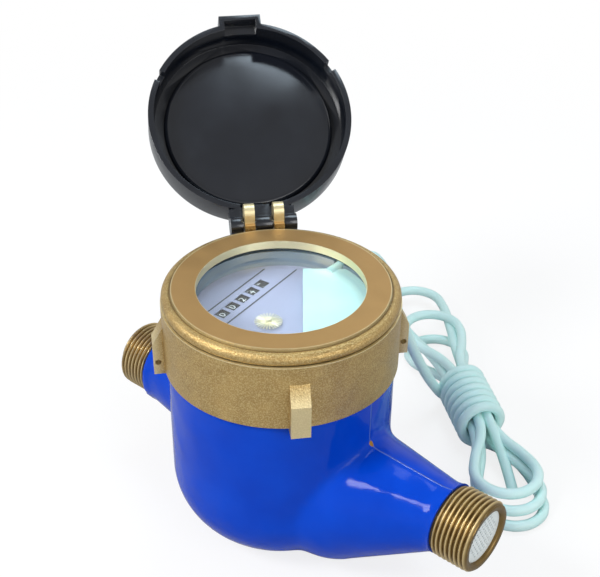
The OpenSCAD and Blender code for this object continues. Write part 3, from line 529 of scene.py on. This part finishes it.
# Gilding over pressed brass: pale gold with a soft sparkle.
gilded = finish(
    "gilded_star", "#EADCB0", "#FBF4DC", patch=1 * MM, rough=(0.25, 0.45), grit=0.3 * MM, depth=0.01 * MM,
    Metallic=0.3)[0]
tree = bpy.data.node_groups.new("star_rays", "GeometryNodeTree")
for label, kind in (("Rays", "NodeSocketInt"), ("Inner", "NodeSocketFloat"), ("Outer", "NodeSocketFloat"),
                    ("Width", "NodeSocketFloat")):
    tree.interface.new_socket(label, in_out="INPUT", socket_type=kind)
tree.interface.new_socket("Mesh", in_out="OUTPUT", socket_type="NodeSocketGeometry")
sizes = add_node(tree, "NodeGroupInput").outputs
span = add_node(tree, "ShaderNodeMath", {0: sizes["Outer"], 1: sizes["Inner"]}, operation="SUBTRACT")
ray = add_node(tree, "GeometryNodeMeshCone", {
    "Vertices": RAY_SIDES, "Radius Top": RAY_TIP_W, "Radius Bottom": sizes["Width"],
    "Depth": span.outputs[0]})
spots = add_node(tree, "GeometryNodeMeshCircle", {"Vertices": sizes["Rays"], "Radius": sizes["Inner"]})
outward = add_node(tree, "FunctionNodeAlignRotationToVector", {
    "Vector": add_node(tree, "GeometryNodeInputPosition").outputs[0]}, axis="Z")
rays = add_node(tree, "GeometryNodeInstanceOnPoints", {
    "Points": spots.outputs[0], "Instance": ray.outputs["Mesh"], "Rotation": outward.outputs[0]})
hub_r = add_node(tree, "ShaderNodeMath", {0: sizes["Inner"], 1: HUB_OVER_RAYS}, operation="MULTIPLY")
hub = add_node(tree, "GeometryNodeMeshCylinder", {
    "Vertices": HUB_SEGMENTS, "Radius": hub_r.outputs[0], "Depth": HUB_H})
whole = add_node(tree, "GeometryNodeJoinGeometry")
for part in (rays.outputs[0], hub.outputs["Mesh"]):
    tree.links.new(part, whole.inputs[0])
plain = add_node(tree, "GeometryNodeRealizeInstances", {0: whole.outputs[0]})
coated = add_node(tree, "GeometryNodeSetMaterial", {"Geometry": plain.outputs[0], "Material": gilded})
add_node(tree, "NodeGroupOutput", {0: coated.outputs[0]})
star = put_in("star_rays", bpy.data.meshes.new("star_rays"))
maker = star.modifiers.new("rays", "NODES")
maker.node_group = tree
labels = {item.name: item.identifier for item in tree.interface.items_tree if item.in_out == "INPUT"}
for label, value in (("Rays", STAR_RAYS), ("Inner", RAY_IN_R), ("Outer", STAR_R), ("Width", RAY_W)):
    maker[labels[label]] = value
settle(star)
star.data.transform(DIAL_TURN @ Matrix.Translation(STAR_AT + Vector((0, 0, STAR_Z))))
dress(star, gilded, "star_rotor", ["star_indicator"])

# Pulse sensor
# A pale block moulded over the reed switch, glued to the dial beside the star.
# Moulded plastic: mint-white, with light that sinks in a little.
SENSOR_EDGE = 0.7 * MM
EDGE_STEPS = 3
FLAT_ANGLE = math.radians(0.5)
CORNER_ANGLE = math.radians(35)
pale_plastic = finish(
    "moulded_pale", "#B6DEDE", "#CAEEED", patch=9 * MM, rough=(0.3, 0.42), grit=0.8 * MM, depth=0.006 * MM,
    Subsurface_Weight=0.25, Subsurface_Radius=(2 * MM, 3 * MM, 3 * MM))[0]


def rounded_copy(node, name, width):
    """A piece with a CAD node's shape and its sharp edges rounded off."""
    piece = merged_copy(node, name)
    net = bmesh.new()
    net.from_mesh(piece.data)
    bmesh.ops.dissolve_limit(net, angle_limit=FLAT_ANGLE, verts=net.verts[:], edges=net.edges[:])
    net.to_mesh(piece.data)
    net.free()
    bevel = piece.modifiers.new("edges", "BEVEL")
    bevel.width = width
    bevel.segments = EDGE_STEPS
    bevel.limit_method = "ANGLE"
    bevel.angle_limit = CORNER_ANGLE
    settle(piece)
    return piece


dress(rounded_copy("pulse_sensor", "sensor_block", SENSOR_EDGE), pale_plastic, "casing",
      ["pulse_sensor"])
# Drawn glass of the reed switch: green and smooth.
reed_glass = finish(
    "reed_glass", "#86B48C", "#A8CCA8", patch=2 * MM, rough=(0.1, 0.2), grit=0.6 * MM, depth=0.002 * MM)[0]
dress_nodes(["reed_switch"], reed_glass)
dress_nodes(["sensor_lead"], pale_plastic)

# Window
# A thick pane of float glass on a thin black gasket, clamped by the ring.
# The glass is clear with a faint green cast, and lets the lamps shine through onto the dial.
GLASS_TINT = "#F4FAFA"
pane = bpy.data.materials.new("float_glass")
pane.use_nodes = True
tree = pane.node_tree
shader = tree.nodes["Principled BSDF"]
shader.inputs["Base Color"].default_value = linear_colour(GLASS_TINT)
shader.inputs["Roughness"].default_value = 0.02
shader.inputs["Transmission Weight"].default_value = 1
shader.inputs["IOR"].default_value = 1.5
clear = add_node(tree, "ShaderNodeBsdfTransparent", {"Color": linear_colour(GLASS_TINT)})
path = add_node(tree, "ShaderNodeLightPath").outputs
lit = add_node(tree, "ShaderNodeMixShader", {
    0: path["Is Shadow Ray"], 1: shader.outputs[0], 2: clear.outputs[0]})
tree.links.new(lit.outputs[0], tree.nodes["Material Output"].inputs["Surface"])
dress_nodes(["window_glass"], pane)
dress_nodes(["window_gasket", "cable_grommet"], rubber)

# Retaining ring
# Sand-cast brass with a grainy side, three lugs and two hinge ears, its top face turned flat on a lathe.
# It screws onto the bowl's neck and clamps the window.
RING_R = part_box("retaining_ring")[1].y
RING_TOP = 103.5 * MM
WINDOW_R = 29.6 * MM
TOP_FACE_R = 38.2 * MM
WALL_TOP = 98.5 * MM
TURNED_BAND = 0.3 * MM
WALL_BAND = 0.2 * MM
HIGHLIGHT_LINE_HALF = 0.5 * MM
FACE_HIGHLIGHT_SHARE = 0.8
RUBBED_FROM_R = RING_R + 0.4 * MM
RUBBED_TO_R = RING_R + 3.6 * MM
LUG_SHARES = (0.1, 0.6)
EAR_FROM_Z = RING_TOP + 0.1 * MM
EAR_TO_Z = RING_TOP + 0.8 * MM
EAR_SHARE = 0.9
GRAIN = 0.53 * MM
GRAIN_H = 0.26 * MM
SMOOTH_GRAIN = 0.08
SPECK = 0.47 * MM
SPECK_FROM = 0.36
SPECK_TO = 0.76
SPECK_GLINT_SHARE = 0.55
LEDGE_R = 40.8 * MM
GROOVE_HALF = 0.8 * MM
GROOVE_DEPTH = 0.9 * MM
GROOVE_SHADE_SHARE = 0.7
# Sand-cast brass: dull gold and grainy from the sand, with bright flecks that are painted glints of the
# grain.
# The real grain is finer. It is drawn as coarse as it needs to show.
cast_brass, tree, shader, place, bump = finish(
    "sand_cast_brass", "#957642", "#C4A468", patch=7 * MM, rough=(0.32, 0.46), grit=GRAIN, depth=GRAIN_H,
    Metallic=0.8)
grains = add_node(tree, "ShaderNodeTexNoise", {"Vector": place, "Scale": 1 / SPECK, "Detail": 2})
glint_specks = add_node(tree, "ShaderNodeMapRange", {
    "Value": grains.outputs["Fac"], "From Min": SPECK_FROM, "From Max": SPECK_TO, "To Max": SPECK_GLINT_SHARE},
    interpolation_type="SMOOTHSTEP")
# Painted glints: pale flecks scattered over the grain.
tint(tree, shader, glint_specks.outputs[0], "#E8D49C")
height = add_node(tree, "ShaderNodeSeparateXYZ", {0: place}).outputs["Z"]
level = add_node(tree, "ShaderNodeVectorMath", {0: place, 1: (1, 1, 0)}, operation="MULTIPLY")
from_axis = add_node(tree, "ShaderNodeVectorMath", {0: level.outputs[0]}, operation="LENGTH").outputs["Value"]
turned_face = add_node(tree, "ShaderNodeMapRange", {
    "Value": height, "From Min": RING_TOP - TURNED_BAND, "From Max": RING_TOP - 0.3 * TURNED_BAND},
    interpolation_type="SMOOTHSTEP").outputs[0]
tint(tree, shader, turned_face, "#BC965F")
# Lugs and ears are rubbed bright. The lines along the bead's edges are painted highlights, and the wall of
# the opening is bright partly from turning and partly as a painted highlight.
inner_wall = add_node(tree, "ShaderNodeMapRange", {
    "Value": from_axis, "From Min": WINDOW_R + 0.1 * WALL_BAND, "From Max": WINDOW_R + WALL_BAND,
    "To Min": 1, "To Max": 0}, interpolation_type="SMOOTHSTEP").outputs[0]
lugs = add_node(tree, "ShaderNodeMapRange", {
    "Value": from_axis, "From Min": RUBBED_FROM_R, "From Max": RUBBED_TO_R,
    "To Min": LUG_SHARES[0], "To Max": LUG_SHARES[1]}, interpolation_type="SMOOTHSTEP").outputs[0]
outside = add_node(tree, "ShaderNodeMath", {0: from_axis, 1: RUBBED_FROM_R}, operation="GREATER_THAN")
lugs = add_node(tree, "ShaderNodeMath", {0: lugs, 1: outside.outputs[0]}, operation="MULTIPLY").outputs[0]
ears = add_node(tree, "ShaderNodeMapRange", {
    "Value": height, "From Min": EAR_FROM_Z, "From Max": EAR_TO_Z, "To Max": EAR_SHARE},
    interpolation_type="SMOOTHSTEP").outputs[0]
wall_edge_highlight = line_at(tree, height, WALL_TOP, HIGHLIGHT_LINE_HALF)
face_edge_highlight = line_at(tree, from_axis, TOP_FACE_R, HIGHLIGHT_LINE_HALF, FACE_HIGHLIGHT_SHARE)
bright = inner_wall
for share in (lugs, ears, wall_edge_highlight, face_edge_highlight):
    bright = add_node(tree, "ShaderNodeMath", {0: bright, 1: share}, operation="MAXIMUM").outputs[0]
# Painted highlights on the bead's edge lines and the opening's wall, laid on together with the real wear of
# lugs and ears.
tint(tree, shader, bright, "#F0E2B4")
# Painted shade: the two grooves beside the bead are darkened where the bead's shadow falls.
in_high_groove = add_node(tree, "ShaderNodeMapRange", {
    "Value": height, "From Min": RING_TOP - GROOVE_DEPTH, "From Max": RING_TOP - GROOVE_DEPTH / 3,
    "To Min": 1, "To Max": 0}, interpolation_type="SMOOTHSTEP").outputs[0]
in_low_groove = line_at(tree, height, WALL_TOP, GROOVE_HALF)
for groove_r, inside in ((TOP_FACE_R + GROOVE_HALF / 2, in_high_groove), (LEDGE_R, in_low_groove)):
    groove_shade = add_node(tree, "ShaderNodeMath", {
        0: line_at(tree, from_axis, groove_r, GROOVE_HALF, GROOVE_SHADE_SHARE), 1: inside}, operation="MULTIPLY")
    tint(tree, shader, groove_shade.outputs[0], "#4A3216")
# The lathe took the grain off the top face and the wall of the opening.
smooth = add_node(tree, "ShaderNodeMath", {0: turned_face, 1: inner_wall}, operation="MAXIMUM")
relief = add_node(tree, "ShaderNodeMapRange", {
    "Value": smooth.outputs[0], "To Min": 1, "To Max": SMOOTH_GRAIN}, interpolation_type="SMOOTHSTEP")
tree.links.new(relief.outputs[0], bump.inputs["Strength"])
dress_nodes(["retaining_ring"], cast_brass)

# Lid and hinge
# A black moulded cap on a steel pin, with a polished raised disc inside and two notches in its rim.
# The disc's face is crowned. The crown is a shallow lens on the flat disc, made in the lid's open place.
LID_EDGE = 0.45 * MM
HINGE_TURN = math.radians(139)
LID_OPEN = math.radians(140)
DISC_CENTRE = Vector((-67.3, 58.5, 121.4)) * MM
CROWN_R = 31.2 * MM
CROWN_H = 2.1 * MM
CROWN_SUNK = 0.3 * MM
CROWN_RINGS = 14
CROWN_SEGMENTS = 96
# Moulded ABS off a polished tool: black with a blue cast and clear lights.
lid_black = finish(
    "moulded_black", "#080C14", "#111722", patch=18 * MM, rough=(0.14, 0.26), grit=0.7 * MM, depth=0.006 * MM,
    Specular_IOR_Level=0.8)[0]
lean = math.sin(LID_OPEN)
face_out = Vector((-math.cos(HINGE_TURN) * lean, -math.sin(HINGE_TURN) * lean, -math.cos(LID_OPEN)))
face_turn = face_out.to_track_quat("Z", "Y").to_matrix().to_4x4()
net = bmesh.new()
profile = [Vector((0, 0, -CROWN_SUNK)), Vector((CROWN_R, 0, -CROWN_SUNK))]
for k in range(CROWN_RINGS + 1):
    share = 1 - k / CROWN_RINGS
    profile.append(Vector((CROWN_R * share, 0, CROWN_H * (1 - share * share))))
points = [net.verts.new(p) for p in profile]
edges = [net.edges.new(pair) for pair in zip(points, points[1:])]
bmesh.ops.spin(net, geom=points + edges, axis=(0, 0, 1), cent=(0, 0, 0), steps=CROWN_SEGMENTS, angle=math.tau)
bmesh.ops.remove_doubles(net, verts=net.verts, dist=MERGE_DIST)
bmesh.ops.recalc_face_normals(net, faces=net.faces[:])
crown = piece_from(net, "lid_disc_crown")
crown.data.transform(Matrix.Translation(DISC_CENTRE) @ face_turn)
dress(crown, lid_black, "lid_flap")
dress(rounded_copy("lid", "lid_cap", LID_EDGE), lid_black, "lid_flap", ["lid"])
dress_nodes(["lid_hinge_pin"], ground_steel)

# Cable
# A limp pale PVC lead with two cores. It drops from the grommet, binds the hank, and then runs in
# three long loops through that binding to its cut end.
CABLE_D = 4.3 * MM
# The lead's points from the grommet down to the hank, in millimetres.
LEAD_START = (0, 45.6, 92.2)
LEAD_POINTS = [
    (0, 49, 92.2), (0.3, 52.8, 90.6), (1, 56.2, 87), (1.9, 58.8, 81.8), (3.2, 61, 74.5),
    (4.6, 63.2, 66.5), (6, 65.8, 58.5), (7.2, 68.8, 50.5), (8.2, 72.2, 42.5), (9, 76, 34.6),
    (9.5, 80.2, 27), (9.9, 84.6, 19.8), (10.5, 89, 13.2), (11.6, 93, 7.6)]
HANK_LOW = Vector((71, 57, 0)) * MM
HANK_HIGH = Vector((-27, 135, 0)) * MM
WRAP_AT = 56 * MM
WRAP_R = 8.6 * MM
WRAP_Z = 10.75 * MM
WRAP_TURNS = 7
WRAP_PITCH = 4.36 * MM
WRAP_STEPS = 16
WRAP_EXTRA_STEPS = 3
WRAP_START = math.radians(230)
WRAP_HALF = 17.5 * MM
EXIT_BEND = 10 * MM
EXIT_ASIDE = 9.6 * MM
FOLD_R = 12.6 * MM
FOLD_STEPS = 8
SPREAD_SHARES = (0.3, 0.65)
run = (HANK_HIGH - HANK_LOW).normalized()
across = Vector((run.y, -run.x, 0))
wrap_centre = HANK_LOW + run * WRAP_AT
route = [Vector(p) * MM for p in [LEAD_START] + LEAD_POINTS]


def in_hank(along, aside, height):
    """A point of the hank: along its run from the binding, to the far side, and up from the table."""
    return wrap_centre + run * along + across * aside + Vector((0, 0, height))


def fold(centre, height, entry_side):
    """The round end of a loop, entered on one side and left on the other."""
    outward = math.copysign(FOLD_R, centre)
    points = []
    for k in range(FOLD_STEPS + 1):
        angle = math.pi * k / FOLD_STEPS
        aside = entry_side * FOLD_R * math.cos(angle)
        points.append(in_hank(centre + outward * math.sin(angle), aside, height))
    return points


def spread(place, end, fold_point, height):
    """Points of a run between its place in the binding and the start of a fold."""
    aside, up = place
    widen = math.copysign(FOLD_R, aside) - aside
    rise = height - WRAP_Z - up
    points = []
    for share in SPREAD_SHARES:
        ease = share * share * (3 - 2 * share)
        along = end + (fold_point - end) * share
        points.append(in_hank(along, aside + widen * ease, WRAP_Z + up + rise * ease))
    return points


def through(place, ends):
    """Points of a run inside the binding, from one of its ends to the other."""
    aside, up = place
    return [in_hank(along, aside, WRAP_Z + up) for along in (ends[0], 0, ends[1])]


# The binding: seven turns side by side, from the near side down, under and up behind.
first_turn = WRAP_PITCH * WRAP_TURNS / 2
for i in range(WRAP_TURNS * WRAP_STEPS + WRAP_EXTRA_STEPS):
    angle = WRAP_START + math.tau * i / WRAP_STEPS
    route.append(in_hank(first_turn - WRAP_PITCH * i / WRAP_STEPS, WRAP_R * math.cos(angle),
                         WRAP_Z + WRAP_R * math.sin(angle)))
# The loops: each is a pair of runs joined by a round fold, spread from its place in the binding.
# A fold is its centre along the hank and its height. The six runs lie packed in the binding like a bundle.
LOW_FOLDS = [(-54 * MM, CABLE_D / 2), (-50 * MM, 1.5 * CABLE_D), (-45 * MM, 2.5 * CABLE_D)]
HIGH_FOLDS = [(48 * MM, CABLE_D / 2), (84 * MM, 1.5 * CABLE_D), (56 * MM, 2.5 * CABLE_D)]
ROW_H = CABLE_D * math.sin(math.radians(60))
FAR_PLACES = [(CABLE_D / 2, -ROW_H), (CABLE_D, 0), (CABLE_D / 2, ROW_H)]
NEAR_PLACES = [(-aside, up) for aside, up in FAR_PLACES]
# The cut end lies along the hank, aside of it and above the table, in millimetres.
END_POINTS = [(-24, 3, 11), (-32, 4, 6.4), (-40, 4, 3), (-48, 3, 2.2)]
route.append(in_hank(-WRAP_HALF - EXIT_BEND, EXIT_ASIDE, CABLE_D / 2))
for turn, ((low, low_z), (high, high_z), near, far) in enumerate(
        zip(LOW_FOLDS, HIGH_FOLDS, NEAR_PLACES, FAR_PLACES)):
    if turn > 0:
        route += spread(FAR_PLACES[turn - 1], -WRAP_HALF, low, low_z)
    route += fold(low, low_z, 1)
    route += spread(near, -WRAP_HALF, low, low_z)[::-1]
    route += through(near, (-WRAP_HALF, WRAP_HALF))
    route += spread(near, WRAP_HALF, high, high_z)
    route += fold(high, high_z, -1)
    route += spread(far, WRAP_HALF, high, high_z)[::-1]
    route += through(far, (WRAP_HALF, -WRAP_HALF))
route += [in_hank(along * MM, aside * MM, up * MM) for along, aside, up in END_POINTS]
line = bpy.data.curves.new("cable", "CURVE")
line.dimensions = "3D"
line.bevel_depth = CABLE_D / 2
line.bevel_resolution = 4
line.resolution_u = 5
line.use_fill_caps = True
spline = line.splines.new("BEZIER")
spline.bezier_points.add(len(route) - 1)
for point, place_on_route in zip(spline.bezier_points, route):
    point.co = place_on_route
    point.handle_left_type = "AUTO"
    point.handle_right_type = "AUTO"
cable = put_in("cable", line)
# Soft PVC: pale, slightly waxy, with a faint drawn ripple.
sheath = finish(
    "pale_pvc", "#CCF6F2", "#E2FEFB", patch=11 * MM, rough=(0.32, 0.46), grit=1.2 * MM, depth=0.03 * MM,
    Subsurface_Weight=0.15, Subsurface_Radius=(MM, 1.5 * MM, 1.5 * MM))[0]
dress(cable, sheath, "casing", ["cable_lead", "cable_hank"])

# Table and light
# A white table in a white room with a darker ceiling. One large soft lamp stands over the left shoulder,
# a weaker one at the right, and a cool one high behind the lid that draws its upper edge.
TABLE_HALF = 1.6
TABLE_DROP = 0.02 * MM
PAPER_GLOW = 0.8
SHADOW_NEAR = 0.2
SHADOW_FAR = 0.55
ROOM_LIGHT = 0.45
WALLS = 0.9
CEILING = 0.42
CEILING_FROM = 0.2
CEILING_TO = 0.9
LAMP_AIM = Vector((0, 0, 0.06))
# A lamp is its name, place and size in metres, power in watts and colour.
LAMPS = [("key", (-0.35, -0.75, 0.85), 0.35, 8.5, "#FFFFFF"), ("fill", (0.9, -0.2, 0.5), 0.6, 3, "#FFFFFF"),
         ("rim", (-0.1, 0.36, 1.02), 0.45, 3, "#DCF0FF")]
net = bmesh.new()
bmesh.ops.create_grid(net, x_segments=1, y_segments=1, size=TABLE_HALF)
table = piece_from(net, "table")
table.location.z = -TABLE_DROP
# White paper: grey enough not to throw much light up, but white to the eye with a soft shadow on it.
# The shadow fades out away from the meter, so that the table has no edge.
paper = bpy.data.materials.new("white_paper")
paper.use_nodes = True
tree = paper.node_tree
shader = tree.nodes["Principled BSDF"]
shader.inputs["Roughness"].default_value = 0.9
shader.inputs["Specular IOR Level"].default_value = 0
path = add_node(tree, "ShaderNodeLightPath").outputs
paper_tone = add_node(tree, "ShaderNodeMix", {
    "Factor": path["Is Camera Ray"], COLOUR_A: linear_colour("#C4C4C4"), COLOUR_B: linear_colour("#FFFFFF")},
    data_type="RGBA")
tree.links.new(paper_tone.outputs[COLOUR_OUT], shader.inputs["Base Color"])
glow = add_node(tree, "ShaderNodeEmission", {"Color": linear_colour("#FFFFFF"), "Strength": 1})
from_middle = add_node(tree, "ShaderNodeVectorMath", {
    0: add_node(tree, "ShaderNodeTexCoord").outputs["Object"]}, operation="LENGTH")
fade = add_node(tree, "ShaderNodeMapRange", {
    "Value": from_middle.outputs["Value"], "From Min": SHADOW_NEAR, "From Max": SHADOW_FAR,
    "To Min": PAPER_GLOW, "To Max": 1}, interpolation_type="SMOOTHSTEP")
sheen = add_node(tree, "ShaderNodeMath", {
    0: path["Is Camera Ray"], 1: fade.outputs[0]}, operation="MULTIPLY")
mixed = add_node(tree, "ShaderNodeMixShader", {0: sheen.outputs[0], 1: shader.outputs[0], 2: glow.outputs[0]})
tree.links.new(mixed.outputs[0], tree.nodes["Material Output"].inputs["Surface"])
table.data.materials.append(paper)
world = bpy.data.worlds.new("room")
scene.world = world
world.use_nodes = True
tree = world.node_tree
path = add_node(tree, "ShaderNodeLightPath").outputs
rise = add_node(tree, "ShaderNodeSeparateXYZ", {
    0: add_node(tree, "ShaderNodeTexCoord").outputs["Generated"]}).outputs["Z"]
mirrored = add_node(tree, "ShaderNodeMapRange", {
    "Value": rise, "From Min": CEILING_FROM, "From Max": CEILING_TO, "To Min": WALLS, "To Max": CEILING})
room = add_node(tree, "ShaderNodeMix", {
    "Factor": path["Is Glossy Ray"], "A": ROOM_LIGHT, "B": mirrored.outputs[0]})
seen = add_node(tree, "ShaderNodeMath", {
    0: path["Is Camera Ray"], 1: path["Is Transmission Ray"]}, operation="MAXIMUM")
light = add_node(tree, "ShaderNodeMix", {"Factor": seen.outputs[0], "A": room.outputs[0], "B": 1})
tree.links.new(light.outputs[0], tree.nodes["Background"].inputs["Strength"])
tree.nodes["Background"].inputs["Color"].default_value = linear_colour("#FFFFFF")
for name, lamp_place, size, power, colour in LAMPS:
    lamp = bpy.data.lights.new(name, "AREA")
    lamp.size = size
    lamp.energy = power
    lamp.color = linear_colour(colour)[:3]
    holder = put_in(name, lamp)
    holder.location = lamp_place
    holder.rotation_euler = (LAMP_AIM - holder.location).to_track_quat("-Z", "Y").to_euler()

# Camera
# It looks down on the window from the inlet's side, as a reader bending over the meter would.
# The shifts were read in pixels of a picture of this width.
LOOK_AT = Vector((0, 0, 73.5 * MM))
AZIMUTH = math.radians(40.7)
ELEVATION = math.radians(35.86)
DISTANCE = 431.6 * MM
PICTURE_W = 600
SHIFT_X = 18.9
SHIFT_Y = 66.7
level_back = Vector((math.sin(AZIMUTH), -math.cos(AZIMUTH), 0))
back = level_back * math.cos(ELEVATION) + Vector((0, 0, math.sin(ELEVATION)))
lens = bpy.data.cameras.new("camera")
lens.lens = 72
lens.sensor_width = 36
lens.shift_x = SHIFT_X / PICTURE_W
lens.shift_y = SHIFT_Y / PICTURE_W
camera = put_in("camera", lens)
camera.location = LOOK_AT + back * DISTANCE
camera.rotation_euler = (-back).to_track_quat("-Z", "Y").to_euler()
scene.camera = camera
